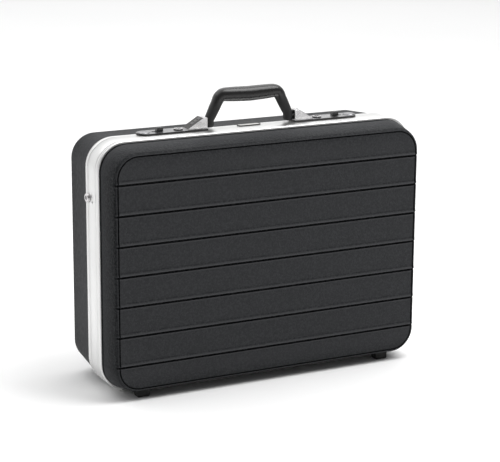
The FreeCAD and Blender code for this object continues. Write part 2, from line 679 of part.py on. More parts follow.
def slope_point(side, along, depth):
    """A point measured up the housing's slope from its toe, and in from the sloping face."""
    angle = slope_angle()
    x = value("Dims.wedge_toe") - along * math.cos(angle) - depth * math.sin(angle)
    z = value(f"{TOP} + Dims.wedge_toe_height") + along * math.sin(angle) - depth * math.cos(angle)
    return Vector(side * x, value(LOCK_Y), z)


def slope_bar(side, start, end, radius):
    """A round bar along the wheels' axis, between two distances up the slope."""
    depth = value("Dims.wheel_depth")
    low = slope_point(side, start, depth)
    high = slope_point(side, end, depth)
    return Part.makeCylinder(radius, end - start, low, high - low)


def wedge_body(side):
    """The solid housing: a low toe, a slope for the wheels and an upright face by the handle."""
    body = new_body(f"Wedge_{side_name(side)}")
    base = f"{TOP} + Dims.plate_thickness"
    outline = polygon(body, f"wedge_outline_{side_name(side)}", "XZ_Plane", f"-({LOCK_Y})", [
        (f"{side} * Dims.wedge_inner", base),
        (f"{side} * Dims.wedge_toe", base),
        (f"{side} * Dims.wedge_toe", f"{TOP} + Dims.wedge_toe_height"),
        (f"{side} * Dims.wedge_shoulder", f"{TOP} + Dims.wedge_top"),
        (f"{side} * Dims.wedge_inner", f"{TOP} + Dims.wedge_top"),
    ])
    pad(body, f"wedge_pad_{side_name(side)}", outline, "2 * Dims.wedge_half_width", both=True)
    return body


def wheel_row():
    """Where the row of wheels starts and ends, up the slope, with room to turn."""
    half = value("Dims.wheel_thickness / 2 + Dims.slip")
    start = value("Dims.first_wheel") - half
    return start, start + 2 * half + 2 * value("Dims.wheel_pitch")


def shaft_bar(side):
    start, end = wheel_row()
    return slope_bar(side, start - value("Dims.shaft_start"), end + value("Dims.shaft_end"),
                     value("Dims.wheel_shaft_radius"))


def wheel_housing(side):
    """The housing with the trough for the wheels and the hole for the handle's pivot pin."""
    name = f"wheel_housing_{side_name(side)}"
    body = wedge_body(side)
    doc.recompute()
    trough = slope_bar(side, *wheel_row(), value("Dims.wheel_radius + Dims.slip"))
    start = value("Dims.wedge_inner - Dims.overcut")
    mouth = Vector(side * start, value(LOCK_Y), value(f"{TOP} + Dims.pivot_height"))
    depth = value("Dims.pivot_reach + Dims.overcut")
    pin = Part.makeCylinder(value("Dims.pivot_radius"), depth, mouth, Vector(side, 0, 0))
    item = doc.addObject("Part::Feature", name)
    item.Shape = body.Shape.cut([trough, shaft_bar(side), pin])
    return finish(item, name)


def wheel_shaft(side):
    item = doc.addObject("Part::Feature", f"wheel_shaft_{side_name(side)}")
    item.Shape = shaft_bar(side)
    return finish(item, f"wheel_shaft_{side_name(side)}")


def number_wheel(side, number):
    name = f"number_wheel_{side_name(side)}_{number + 1}"
    centre = value("Dims.first_wheel") + number * value("Dims.wheel_pitch")
    half = value("Dims.wheel_thickness / 2")
    rim = slope_bar(side, centre - half, centre + half, value("Dims.wheel_radius"))
    past = half + value("Dims.overcut")
    loose = value("Dims.wheel_shaft_radius + Dims.running_gap")
    bore = slope_bar(side, centre - past, centre + past, loose)
    item = doc.addObject("Part::Feature", name)
    item.Shape = rim.cut(bore)
    return finish(item, name)


def handle_pin(side):
    """The pin from the housing into the handle's hub."""
    name = f"handle_pin_{side_name(side)}"
    span = (f"{side} * (Dims.hub_inner + Dims.pivot_inset)",
            f"{side} * (Dims.wedge_inner + Dims.pivot_reach)")
    across = (LOCK_Y, f"{TOP} + Dims.pivot_height")
    return finish(cylinder(name + "_bar", "x", d("pivot_radius"), span, across), name)


def handle_outline(sign):
    """One side of the handle's frame, as offsets from its middle and from the frame's top."""
    return [
        (f"{sign} * Dims.hub_outer", f"{TOP} + Dims.pivot_height - Dims.hub_radius"),
        (f"{sign} * Dims.hub_outer", f"{TOP} + Dims.shoulder_height"),
        (f"{sign} * Dims.handle_top_half", f"{TOP} + Dims.bridge_top"),
    ]


def handle_frame():
    """Two legs and the bridge between them, bored for the pivot pins."""
    body = new_body("HandleFrame")
    outer = handle_outline(1) + list(reversed(handle_outline(-1)))
    inner = [
        ("-Dims.hub_inner", f"{TOP} + Dims.pivot_height - Dims.hub_radius"),
        ("-Dims.hub_inner", f"{TOP} + Dims.shoulder_height"),
        ("-Dims.under_half", f"{TOP} + Dims.bridge_under"),
        (d("under_half"), f"{TOP} + Dims.bridge_under"),
        (d("hub_inner"), f"{TOP} + Dims.shoulder_height"),
        (d("hub_inner"), f"{TOP} + Dims.pivot_height - Dims.hub_radius"),
    ]
    outline = polygon(body, "handle_outline", "XZ_Plane", f"-({LOCK_Y})", outer + inner)
    legs = pad(body, "handle_legs", outline, d("handle_thickness"), both=True)
    hub_level = f"{TOP} + Dims.pivot_height - Dims.hub_radius"
    level = flat_edge("Z", hub_level)

    def foot_end(edge):
        return level(edge) and edge.BoundBox.YLength < SAME

    fillet(body, "handle_hubs", legs, foot_end, "Dims.hub_fillet")
    bores = []
    for side in (-1, 1):
        span = (f"{side} * (Dims.hub_inner - Dims.overcut)", f"{side} * (Dims.hub_outer + Dims.overcut)")
        bores.append(cylinder(f"handle_bore_{side_name(side)}", "x", "Dims.pivot_radius + Dims.running_gap",
                              span, (LOCK_Y, f"{TOP} + Dims.pivot_height")))
    return finish(cut("HandleFrameBored", body, *bores), "handle_frame")


def handle_grip():
    """The fuller moulded sleeve over the bridge: a loft of ovals, largest in the middle."""
    middle = value(f"{TOP} + (Dims.handle_top + Dims.grip_under) / 2")
    sections = []
    for place in (-1, -0.5, 0, 0.5, 1):
        fullness = 1 - place ** 2
        swell_tall = value("Dims.handle_top - Dims.grip_under - Dims.grip_end_height")
        swell_deep = value("Dims.grip_depth - Dims.grip_end_depth")
        tall = value("Dims.grip_end_height") + fullness * swell_tall
        deep = value("Dims.grip_end_depth") + fullness * swell_deep
        centre = Vector(place * value("Dims.grip_half_length"), value(LOCK_Y), middle)
        major, minor = (deep, tall) if deep > tall else (tall, deep)
        along = Vector(0, 1, 0) if deep > tall else Vector(0, 0, 1)
        across = Vector(1, 0, 0).cross(along)
        oval = Part.Ellipse(centre + along * (major / 2), centre + across * (minor / 2), centre)
        sections.append(Part.Wire(oval.toShape()))
    sleeve = Part.makeLoft(sections, True)
    item = doc.addObject("Part::Feature", "HandleGrip")
    item.Shape = sleeve.cut(doc.getObject("HandleFrame").Shape)
    return finish(item, "handle_grip")


def badge_plate():
    """A blank oval plate on the frame under the handle."""
    half = "(Dims.badge_length / 2 - Dims.badge_width / 2)"
    span = (TOP, f"{TOP} + Dims.badge_thickness")
    ys = (f"{LOCK_Y} - Dims.badge_width / 2", f"{LOCK_Y} + Dims.badge_width / 2")
    bar = box("badge_bar", (f"-{half}", half), ys, span)
    ends = []
    for side in (-1, 1):
        ends.append(cylinder(f"badge_end_{side_name(side)}", "z", "Dims.badge_width / 2", span,
                             (f"{side} * {half}", LOCK_Y)))
    return finish(fuse("BadgePlate", bar, *ends), "badge_plate")


def lid_pivot():
    return (-value("Dims.stay_lid_y"), value("Dims.stay_lid_z"))


def stay_path(angle):
    """Where the stay's sliding pin is, from the hinge axis, when the lid has turned by an angle."""
    lid_y, lid_z = lid_pivot()
    arm_y = value("Dims.stay_base_y") - lid_y
    arm_z = value("Dims.stay_base_z") - lid_z
    lid = math.radians(angle)
    arm = lid * value("Dims.stay_ratio")
    y = lid_y * math.cos(lid) - lid_z * math.sin(lid) + arm_y * math.cos(arm) + arm_z * math.sin(arm)
    z = lid_y * math.sin(lid) + lid_z * math.cos(lid) - arm_y * math.sin(arm) + arm_z * math.cos(arm)
    return y, z


def stay_slot(side, low, high):
    """The curved slot that the sliding pin follows, a little wider than the pin."""
    travel = value("Dims.stay_travel")
    half = value("Dims.stay_pin_radius + Dims.stay_slot_gap")
    steps = 8
    small_turn = 0.5
    edges = {1: [], -1: []}
    for step in range(steps + 1):
        angle = travel * step / steps
        y, z = stay_path(angle)
        ahead = stay_path(angle + small_turn)
        behind = stay_path(angle - small_turn)
        run_y = ahead[0] - behind[0]
        run_z = ahead[1] - behind[1]
        off = half / math.hypot(run_y, run_z)
        for hand, places in edges.items():
            places.append(stay_world(side, low, y - hand * off * run_z, z + hand * off * run_y))
    curves = []
    for places in edges.values():
        spline = Part.BSplineCurve()
        spline.interpolate(places)
        curves.append(spline.toShape())
    caps = [Part.makeLine(edges[1][end], edges[-1][end]) for end in (0, -1)]
    outline = Part.Face(Part.Wire(Part.__sortEdges__(curves + caps)))
    solid = outline.extrude(Vector(side * (high - low), 0, 0))
    for angle in (0, travel):
        centre = stay_world(side, low, *stay_path(angle))
        solid = solid.fuse(Part.makeCylinder(half, high - low, centre, Vector(side, 0, 0)))
    return solid


def stay_world(side, x, y, z):
    """A point given by its distance from the middle and its place from the hinge axis."""
    return Vector(side * x, value(HINGE_Y) + y, value(d("hinge_axis_height")) + z)


def stay_track(side):
    """The slotted plate on the inside of the base frame."""
    name = f"stay_track_{side_name(side)}"
    wall = f"(Dims.case_width / 2 - Dims.frame_wall)"
    plate = box(name + "_plate", (f"{side} * ({wall} - Dims.track_thickness)", f"{side} * {wall}"),
                (f"{PARTING} + Dims.tongue_root + Dims.slip",
                 f"{BASE_EDGE} - Dims.base_flange - Dims.slip"),
                ("Dims.hinge_axis_height + Dims.track_bottom",
                 "Dims.hinge_axis_height + Dims.stud_height + Dims.track_over"))
    doc.recompute()
    inner = value(f"{wall} - Dims.track_thickness - Dims.overcut")
    item = doc.addObject("Part::Feature", name)
    item.Shape = plate.Shape.cut(stay_slot(side, inner, value(f"{wall} + Dims.overcut")))
    return finish(item, name)


def side_stud(side):
    """The round stud outside the frame that holds the stay's track."""
    name = f"side_stud_{side_name(side)}"
    face = f"{side} * Dims.case_width / 2"
    end = f"{side} * (Dims.case_width / 2 + Dims.stud_reach)"
    rim = cylinder(name + "_rim", "x", d("stud_radius"), (face, end), STUD)
    doc.recompute()
    outer = flat_edge("X", end)
    radius = value("Dims.stud_fillet")
    round_rim = doc.addObject("Part::Fillet", name + "_round")
    round_rim.Base = rim
    round_rim.Edges = [(n, radius, radius) for n, edge in enumerate(rim.Shape.Edges, start=1)
                       if outer(edge)]
    seat = f"{side} * (Dims.case_width / 2 + Dims.stud_reach - Dims.stud_cap_reach)"
    past = f"{side} * (Dims.case_width / 2 + Dims.stud_reach + Dims.overcut)"
    hollow = cylinder(name + "_hollow", "x", d("stud_cap_radius"), (seat, past), STUD)
    inside = f"{side} * (Dims.case_width / 2 - Dims.frame_wall)"
    shank = cylinder(name + "_shank", "x", d("stud_cap_radius"), (inside, face), STUD)
    return finish(cut(name + "_done", fuse(name + "_solid", round_rim, shank), hollow), name)


def stud_cap(side):
    """The dark insert in the middle of the stud."""
    name = f"stud_cap_{side_name(side)}"
    seat = f"{side} * (Dims.case_width / 2 + Dims.stud_reach - Dims.stud_cap_reach)"
    end = f"{side} * (Dims.case_width / 2 + Dims.stud_reach - Dims.slip)"
    disc = cylinder(name + "_disc", "x", "Dims.stud_cap_radius - Dims.weld", (seat, end), STUD)
    return finish(disc, name)


def side_rivets():
    """The small rivets beside the studs, one on each side of the frame."""
    items = []
    for side in (-1, 1):
        face = "Dims.case_width / 2"
        across = (f"{STUD[0]} - Dims.small_rivet_offset", f"{STUD[1]} - Dims.small_rivet_drop")
        items.append(cylinder(f"side_rivet_{side_name(side)}", "x", d("small_rivet_radius"),
                              (f"{side} * {face}", f"{side} * ({face} + Dims.small_rivet_reach)"), across))
    return finish(group("SideRivets", items), "side_rivets")


def stay_bracket(side):
    """The block on the lid that carries the stay's pivot post."""
    name = f"stay_bracket_{side_name(side)}"
    wall = f"{side} * (Dims.case_width / 2 - Dims.shell_inset - Dims.shell_wall)"
    face = f"{side} * (Dims.stay_plane + Dims.stay_thickness + Dims.slip)"
    neck = f"{side} * (Dims.stay_plane - Dims.slip)"
    end = f"{side} * (Dims.stay_plane - Dims.slip - Dims.post_head_thickness)"
    z = "(Dims.hinge_axis_height + Dims.stay_lid_z)"
    pivot = (f"({HINGE_Y} - Dims.stay_lid_y)", z)
    block = box(name + "_block", (face, wall), (f"{LID_EDGE} + Dims.slip", f"{LID_EDGE} + Dims.lid_flange"),
                (f"{z} - Dims.bracket_half", f"{z} + Dims.bracket_half"))
    post = cylinder(name + "_post", "x", d("stay_pivot_radius"), (neck, face), pivot)
    head = cylinder(name + "_head", "x", "Dims.stay_pivot_radius + Dims.post_head", (end, neck), pivot)
    return finish(fuse(name + "_solid", block, post, head), name)


def stay_arm(side):
    """The flat arm: bored at the lid's post, with a pin at its far end that runs in the track."""
    name = f"stay_arm_{side_name(side)}"
    inner = value("Dims.stay_plane")
    thick = value("Dims.stay_thickness")
    half = value("Dims.stay_half_width")
    start = stay_world(side, inner, *lid_pivot())
    end = stay_world(side, inner, *stay_path(0))
    out = Vector(side, 0, 0)
    along = (end - start).normalize()
    sideways = along.cross(out) * half
    corners = [start + sideways, end + sideways, end - sideways, start - sideways]
    bar = Part.Face(Part.makePolygon(corners + corners[:1])).extrude(out * thick)
    for centre in (start, end):
        bar = bar.fuse(Part.makeCylinder(half, thick, centre, out))
    pin_length = value("Dims.case_width / 2 - Dims.frame_wall - Dims.stay_plane - Dims.slip")
    bar = bar.fuse(Part.makeCylinder(value("Dims.stay_pin_radius"), pin_length, end, out))
    over = value("Dims.overcut")
    bore = value("Dims.stay_pivot_radius + Dims.running_gap")
    hole = Part.makeCylinder(bore, thick + 2 * over, start - out * over, out)
    item = doc.addObject("Part::Feature", name)
    item.Shape = bar.cut(hole).removeSplitter()
    return finish(item, name)


def frame_joiner():
    """The plate inside the frame that closes the joint of the bent extrusion."""
    floor = f"{BOTTOM} + Dims.frame_wall"
    ys = (f"{PARTING} + Dims.tongue_root + Dims.joiner_gap",
          f"{BASE_EDGE} - Dims.base_flange - Dims.joiner_gap")
    zs = (floor, f"{floor} + Dims.joiner_thickness")
    return finish(box("JoinerPlate", ("-Dims.joiner_half", d("joiner_half")), ys, zs), "frame_joiner")


def build():
    lid_frame()
    base_frame()
    lid_shell()
    base_shell()
    lining("LidLining", "lid_lining", LID_EDGE, FRONT, -1)
    lining("BaseLining", "base_lining", BASE_EDGE, BACK, 1)
    document_pocket()
    lid_feet()
    base_feet()
    hinge_leaf("BaseLeaf", "base_hinge_leaf", 1)
    hinge_leaf("LidLeaf", "lid_hinge_leaf", -1)
    hinge_pin()
    hinge_rivets("base_hinge_rivets", 1)
    hinge_rivets("lid_hinge_rivets", -1)
    frame_joiner()
    for side in (-1, 1):
        lock_plate(side)
        key_collar(side)
        key_plug(side)
        slide_knob(side)
        latch_bolt(side)
        keeper(side)
        lock_rivets(side)
        wheel_housing(side)
        wheel_shaft(side)
        for number in range(3):
            number_wheel(side, number)
        handle_pin(side)
        stay_track(side)
        side_stud(side)
        stud_cap(side)
        stay_bracket(side)
        stay_arm(side)
    side_rivets()
    badge_plate()
    handle_frame()
    handle_grip()


def check():
    """Stop if any object failed or any sub-part's shape is missing or broken."""
    doc.recompute()
    for item in doc.Objects:
        if "Invalid" in item.State or "Error" in item.State:
            raise RuntimeError(f"{item.Label} failed: {item.State}")
    for item in nodes:
        if item.Shape.isNull() or not item.Shape.isValid() or item.Shape.Volume <= 0:
            raise RuntimeError(f"{item.Label} has no valid shape")


def write():
    os.makedirs("parts", exist_ok=True)
    for item in nodes:
        item.Shape.exportStep(f"parts/{item.Label}.step")


build()
check()
write()
print(len(nodes), "sub-parts written")
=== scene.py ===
"""Looks of the attache case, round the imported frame. Metres; X is the width, the lid faces -Y, Z is up."""
import json
import math

import bmesh
import bpy
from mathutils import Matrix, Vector

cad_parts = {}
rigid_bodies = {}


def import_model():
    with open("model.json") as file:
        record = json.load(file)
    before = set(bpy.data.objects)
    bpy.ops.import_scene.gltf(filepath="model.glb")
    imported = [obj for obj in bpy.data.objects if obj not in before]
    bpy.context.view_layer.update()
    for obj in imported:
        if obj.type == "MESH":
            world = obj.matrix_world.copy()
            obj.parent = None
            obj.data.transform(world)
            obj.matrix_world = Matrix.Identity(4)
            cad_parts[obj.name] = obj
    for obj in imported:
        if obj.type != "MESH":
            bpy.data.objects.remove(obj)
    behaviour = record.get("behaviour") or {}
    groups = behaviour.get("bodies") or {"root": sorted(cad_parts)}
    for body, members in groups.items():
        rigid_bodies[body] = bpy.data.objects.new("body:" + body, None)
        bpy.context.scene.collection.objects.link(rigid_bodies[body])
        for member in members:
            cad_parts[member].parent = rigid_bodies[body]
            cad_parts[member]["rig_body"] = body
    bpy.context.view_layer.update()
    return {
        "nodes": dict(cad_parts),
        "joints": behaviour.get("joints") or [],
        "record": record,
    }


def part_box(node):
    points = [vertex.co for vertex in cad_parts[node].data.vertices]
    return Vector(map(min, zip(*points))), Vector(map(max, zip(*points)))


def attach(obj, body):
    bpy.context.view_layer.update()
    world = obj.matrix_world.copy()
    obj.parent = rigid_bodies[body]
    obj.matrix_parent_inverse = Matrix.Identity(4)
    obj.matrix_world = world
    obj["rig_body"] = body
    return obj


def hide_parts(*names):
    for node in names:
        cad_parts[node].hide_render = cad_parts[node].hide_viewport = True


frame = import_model()
NODES = frame["nodes"]
JOINTS = {joint["name"]: joint for joint in frame["joints"]}
SIDES = ("left", "right")

# Levels read from the frame.
FRAME_LOW, FRAME_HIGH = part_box("base_frame")
LID_BAND_LOW, LID_BAND_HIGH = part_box("lid_frame")
CASE_WIDTH = FRAME_HIGH.x - FRAME_LOW.x
CASE_HEIGHT = FRAME_HIGH.z - FRAME_LOW.z
MIDDLE_Z = (FRAME_HIGH.z + FRAME_LOW.z) / 2
LID_EDGE = LID_BAND_LOW.y
LID_PARTING = LID_BAND_HIGH.y
BASE_EDGE = FRAME_HIGH.y
TONGUE_END = FRAME_LOW.y
RIB_HEIGHT = 0.0016
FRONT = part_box("lid_shell")[0].y + RIB_HEIGHT
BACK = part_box("base_shell")[1].y

# Shape of the case, in metres.
FRAME_RADIUS = 0.038
FRAME_WALL = 0.0022
SHELL_INSET = 0.0027
SHELL_WALL = 0.003
MOUTH = (CASE_WIDTH - 2 * SHELL_INSET, CASE_HEIGHT - 2 * SHELL_INSET, 0.0355)
PANEL = (0.444, 0.315, 0.032)
PANEL_BORDER = 0.0048
RIB_PITCH = 0.0401
RIB_COUNT = 7
TONGUE_REACH = 0.004

# Steps round each corner.
BAND_STEPS = 14
SHELL_STEPS = 12
LINING_STEPS = 10
POCKET_STEPS = 8


# ---------- meshes ----------

def add_piece(name, mesh, body, replaced=()):
    """Put a mesh in the scene, riding on a CAD body and standing for CAD nodes."""
    piece = bpy.data.objects.new(name, mesh)
    bpy.context.scene.collection.objects.link(piece)
    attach(piece, body)
    if replaced:
        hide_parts(*replaced)
    return piece


def finish_mesh(shape, name, sharp_degrees=32.0):
    """Turn a bmesh into a mesh that is smooth except at sharp edges."""
    bmesh.ops.recalc_face_normals(shape, faces=shape.faces)
    mesh = bpy.data.meshes.new(name)
    shape.to_mesh(mesh)
    shape.free()
    mesh.polygons.foreach_set("use_smooth", [True] * len(mesh.polygons))
    mesh.set_sharp_from_angle(angle=math.radians(sharp_degrees))
    return mesh


def corner_samples(steps, marks=()):
    """Places down the right side of a rounded rectangle: (turn of the corner, share of the straight side)."""
    turns = [math.pi / 2 * (1 - step / steps) for step in range(steps + 1)]
    top = [(turn, 1.0) for turn in turns]
    straight = [(0.0, share) for share in sorted(marks, reverse=True) if -1 < share < 1]
    bottom = [(-turn, -1.0) for turn in reversed(turns)]
    return top + straight + bottom


def outline(size, y, samples, lift=None):
    """A closed loop of points on a rounded rectangle round the case's middle; lift moves each point in Y."""
    width, height, radius = size
    right = []
    for number, (turn, share) in enumerate(samples):
        x = width / 2 - radius + radius * math.cos(turn)
        z = share * (height / 2 - radius) + radius * math.sin(turn)
        depth = y + (lift[number] if lift else 0.0)
        right.append(Vector((x, depth, MIDDLE_Z + z)))
    left = [Vector((-point.x, point.y, point.z)) for point in reversed(right)]
    return right + left


def shrunk(size, inset):
    """A rounded rectangle's (width, height, radius) moved in by an inset."""
    return size[0] - 2 * inset, size[1] - 2 * inset, size[2] - inset


def join_rows(shape, rows):
    """Four-sided faces between matching closed rows of vertices."""
    count = len(rows[0])
    for row, after in zip(rows, rows[1:]):
        for number in range(count):
            following = (number + 1) % count
            shape.faces.new((row[number], row[following], after[following], after[number]))


def add_capped(shape, loops):
    """A closed solid through loops of points, with one face over each end."""
    rows = [[shape.verts.new(point) for point in loop] for loop in loops]
    join_rows(shape, rows)
    shape.faces.new(rows[0])
    shape.faces.new(rows[-1])


def skin(loops, cap_ends):
    """Faces between matching loops; the ends are either joined to each other or closed by rungs."""
    shape = bmesh.new()
    rows = [[shape.verts.new(point) for point in loop] for loop in loops]
    if not cap_ends:
        join_rows(shape, rows + [rows[0]])
        return shape
    join_rows(shape, rows)
    count = len(rows[0])
    for row in (rows[0], rows[-1]):
        for number in range(count // 2 - 1):
            mate = count - 1 - number
            shape.faces.new((row[number], row[number + 1], row[mate - 1], row[mate]))
    return shape


def band(profile):
    """A closed section, given as (inset, y) pairs, run round the frame's outline."""
    samples = corner_samples(BAND_STEPS)
    outer = (CASE_WIDTH, CASE_HEIGHT, FRAME_RADIUS)
    return skin([outline(shrunk(outer, inset), y, samples) for inset, y in profile], cap_ends=False)


def round_edges(piece, width, limit_degrees):
    """Bevel every edge that is sharper than the limit."""
    bevel = piece.modifiers.new("edges", "BEVEL")
    bevel.width = width
    bevel.segments = 2
    bevel.limit_method = "ANGLE"
    bevel.angle_limit = math.radians(limit_degrees)
    return bevel


def soften(node, width):
    """A copy of a CAD node with its edges rounded, standing in its place."""
    weld_distance = 0.00001
    flat_degrees = 1.0
    source = NODES[node]
    shape = bmesh.new()
    shape.from_mesh(source.data)
    bmesh.ops.remove_doubles(shape, verts=shape.verts, dist=weld_distance)
    flat = math.radians(flat_degrees)
    bmesh.ops.dissolve_limit(shape, angle_limit=flat, verts=shape.verts, edges=shape.edges)
    mesh = finish_mesh(shape, node + "_soft")
    own_normals = mesh.attributes.get("custom_normal")
    if own_normals:
        mesh.attributes.remove(own_normals)
    piece = add_piece(node + "_soft", mesh, source["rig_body"], [node])
    bevel = round_edges(piece, width, limit_degrees=30.0)
    bevel.harden_normals = True
    return piece


def slot_of(node):
    return {part["node"]: part["material_slot"] for part in frame["record"]["subparts"]}[node]


# ---------- materials ----------

def set_range(node, from_low, from_high, low, high):
    """The four limits of a Map Range node."""
    limits = {"From Min": from_low, "From Max": from_high, "To Min": low, "To Max": high}
    for name, number in limits.items():
        node.inputs[name].default_value = number


class Finish:
    """A procedural material under construction: a Principled shader and the nodes that feed it."""

    def __init__(self, name, metallic=0.0, specular=0.5):
        self.material = bpy.data.materials.new(name)
        self.material.use_nodes = True
        self.tree = self.material.node_tree
        self.tree.nodes.clear()
        output = self.tree.nodes.new("ShaderNodeOutputMaterial")
        self.shader = self.tree.nodes.new("ShaderNodeBsdfPrincipled")
        self.tree.links.new(self.shader.outputs["BSDF"], output.inputs["Surface"])
        self.shader.inputs["Metallic"].default_value = metallic
        self.shader.inputs["Specular IOR Level"].default_value = specular
        self.place = self.tree.nodes.new("ShaderNodeTexCoord").outputs["Object"]

    def stretched(self, x, y, z):
        """Object coordinates scaled apart, for brushed or woven detail."""
        mapping = self.tree.nodes.new("ShaderNodeMapping")
        mapping.inputs["Scale"].default_value = (x, y, z)
        self.tree.links.new(self.place, mapping.inputs["Vector"])
        return mapping.outputs["Vector"]

    def noise(self, scale, detail=3.0, place=None):
        """Soft random variation, from about 0.3 to 0.7."""
        node = self.tree.nodes.new("ShaderNodeTexNoise")
        node.inputs["Scale"].default_value = scale
        node.inputs["Detail"].default_value = detail
        self.tree.links.new(place or self.place, node.inputs["Vector"])
        return node.outputs["Fac"]

    def cells(self, scale):
        """Rounded pebbles, as the distance from the nearest one's middle."""
        node = self.tree.nodes.new("ShaderNodeTexVoronoi")
        node.feature = "SMOOTH_F1"
        node.inputs["Scale"].default_value = scale
        node.inputs["Smoothness"].default_value = 0.6
        self.tree.links.new(self.place, node.inputs["Vector"])
        return node.outputs["Distance"]

    def wave(self, scale, direction):
        """Even stripes across one axis."""
        node = self.tree.nodes.new("ShaderNodeTexWave")
        node.bands_direction = direction
        node.inputs["Scale"].default_value = scale
        self.tree.links.new(self.place, node.inputs["Vector"])
        return node.outputs["Fac"]

    def edges(self, low=0.52, high=0.62):
        """1 on convex edges, 0 elsewhere: wear on the metals, and a painted highlight on the black plastic.
        """
        geometry = self.tree.nodes.new("ShaderNodeNewGeometry")
        return self.spread(geometry.outputs["Pointiness"], low, high, 0.0, 1.0)

    def spread(self, factor, from_low, from_high, low, high):
        """The factor's range stretched to another one."""
        node = self.tree.nodes.new("ShaderNodeMapRange")
        set_range(node, from_low, from_high, low, high)
        self.tree.links.new(factor, node.inputs["Value"])
        return node.outputs["Result"]

    def between(self, factor, first, second):
        """A colour that runs from the first to the second; each is a colour or another node's output."""
        node = self.tree.nodes.new("ShaderNodeMix")
        node.data_type = "RGBA"
        self.tree.links.new(factor, node.inputs["Factor"])
        for socket, colour in ((node.inputs["A"], first), (node.inputs["B"], second)):
            self.put(socket, colour)
        return node.outputs["Result"]

    def put(self, socket, item):
        """Set a colour socket, or feed it from another node."""
        if isinstance(item, tuple):
            socket.default_value = (*item, 1.0)
        else:
            self.tree.links.new(item, socket)

    def multiply(self, first, second):
        node = self.tree.nodes.new("ShaderNodeMath")
        node.operation = "MULTIPLY"
        self.tree.links.new(first, node.inputs[0])
        self.tree.links.new(second, node.inputs[1])
        return node.outputs["Value"]

    def colour(self, item):
        self.put(self.shader.inputs["Base Color"], item)

    def roughness(self, factor, low, high):
        """Roughness that follows a noise between two values."""
        self.tree.links.new(self.spread(factor, 0.3, 0.7, low, high), self.shader.inputs["Roughness"])

    def bump(self, height, strength, distance, under=None):
        node = self.tree.nodes.new("ShaderNodeBump")
        node.inputs["Strength"].default_value = strength
        node.inputs["Distance"].default_value = distance
        self.tree.links.new(height, node.inputs["Height"])
        if under:
            self.tree.links.new(under, node.inputs["Normal"])
        self.tree.links.new(node.outputs["Normal"], self.shader.inputs["Normal"])
        return node.outputs["Normal"]


def grained_plastic():
    """Black moulded ABS with a fine pebbled grain, with a painted highlight along convex edges such as the
    rib crests.
    """
    finish = Finish("grained_black_abs", specular=0.05)
    speckle = finish.spread(finish.noise(420.0, 2.0), 0.42, 0.66, 0.0, 1.0)
    body = finish.between(finish.noise(14.0), (0.0044, 0.0049, 0.0056), (0.0064, 0.0070, 0.0079))
    grained = finish.between(speckle, body, (0.0240, 0.0250, 0.0268))
    # Convex edges, the rib crests most, get a paler colour as a painted highlight.
    finish.colour(finish.between(finish.edges(0.515, 0.58), grained, (0.055, 0.056, 0.059)))
    finish.roughness(finish.noise(160.0), 0.50, 0.60)
    grain = finish.bump(finish.cells(500.0), 0.8, 0.0005)
    finish.bump(finish.noise(1800.0), 0.25, 0.00015, under=grain)
    return finish.material


def anodised_aluminium():
    """Satin extrusion: fine lines along the band and a faint cloudiness."""
    finish = Finish("satin_anodised_aluminium", metallic=1.0)
    lines = finish.noise(1.0, 2.0, place=finish.stretched(4.0, 2500.0, 4.0))
    cloud = finish.noise(14.0)
    finish.colour(finish.between(finish.multiply(lines, cloud), (0.74, 0.74, 0.735), (0.62, 0.62, 0.615)))
    finish.roughness(cloud, 0.30, 0.40)
    finish.bump(lines, 0.06, 0.0001)
    return finish.material


def satin_chrome():
    finish = Finish("satin_chrome", metallic=1.0)
    cloud = finish.noise(40.0)
    tone = finish.between(cloud, (0.55, 0.535, 0.54), (0.68, 0.66, 0.67))
    finish.colour(finish.between(finish.edges(), tone, (0.72, 0.72, 0.72)))
    finish.roughness(finish.noise(160.0), 0.20, 0.32)
    finish.bump(finish.noise(900.0), 0.05, 0.0001)
    return finish.material


def dark_nickel():
    """The lock plates: dull dark plating with darker stains in its fine grain."""
    finish = Finish("dark_nickel", metallic=1.0)
    stain = finish.multiply(finish.noise(90.0), finish.noise(420.0))
    tone = finish.between(stain, (0.30, 0.30, 0.31), (0.11, 0.11, 0.115))
    finish.colour(finish.between(finish.edges(), tone, (0.46, 0.46, 0.46)))
    finish.roughness(finish.noise(160.0), 0.24, 0.36)
    finish.bump(finish.noise(900.0), 0.06, 0.0001)
    return finish.material


def dark_edge():
    """Dark plating: painted shade on the upright sides of the plates and collars; also the dark housing
    slopes and badge rim.
    """
    finish = Finish("dark_trim_and_painted_shade", metallic=0.5)
    finish.colour(finish.between(finish.noise(300.0), (0.020, 0.019, 0.019), (0.045, 0.043, 0.043)))
    finish.roughness(finish.noise(500.0), 0.40, 0.55)
    finish.bump(finish.noise(1200.0), 0.1, 0.0001)
    return finish.material


def bright_chrome():
    finish = Finish("bright_chrome", metallic=1.0)
    finish.colour(finish.between(finish.noise(70.0), (0.70, 0.70, 0.70), (0.80, 0.80, 0.80)))
    finish.roughness(finish.noise(240.0), 0.08, 0.20)
    finish.bump(finish.noise(700.0), 0.04, 0.0001)
    return finish.material


def plated_steel(name, light, dark, rough):
    """Zinc or nickel plated sheet with faint rolling lines."""
    finish = Finish(name, metallic=1.0)
    lines = finish.noise(1.0, 2.0, place=finish.stretched(12.0, 900.0, 900.0))
    tone = finish.between(finish.multiply(lines, finish.noise(30.0)), light, dark)
    worn = tuple(min(1.0, part * 1.2) for part in light)
    finish.colour(finish.between(finish.edges(), tone, worn))
    finish.roughness(finish.noise(120.0), rough, rough + 0.14)
    finish.bump(lines, 0.08, 0.0001)
    return finish.material


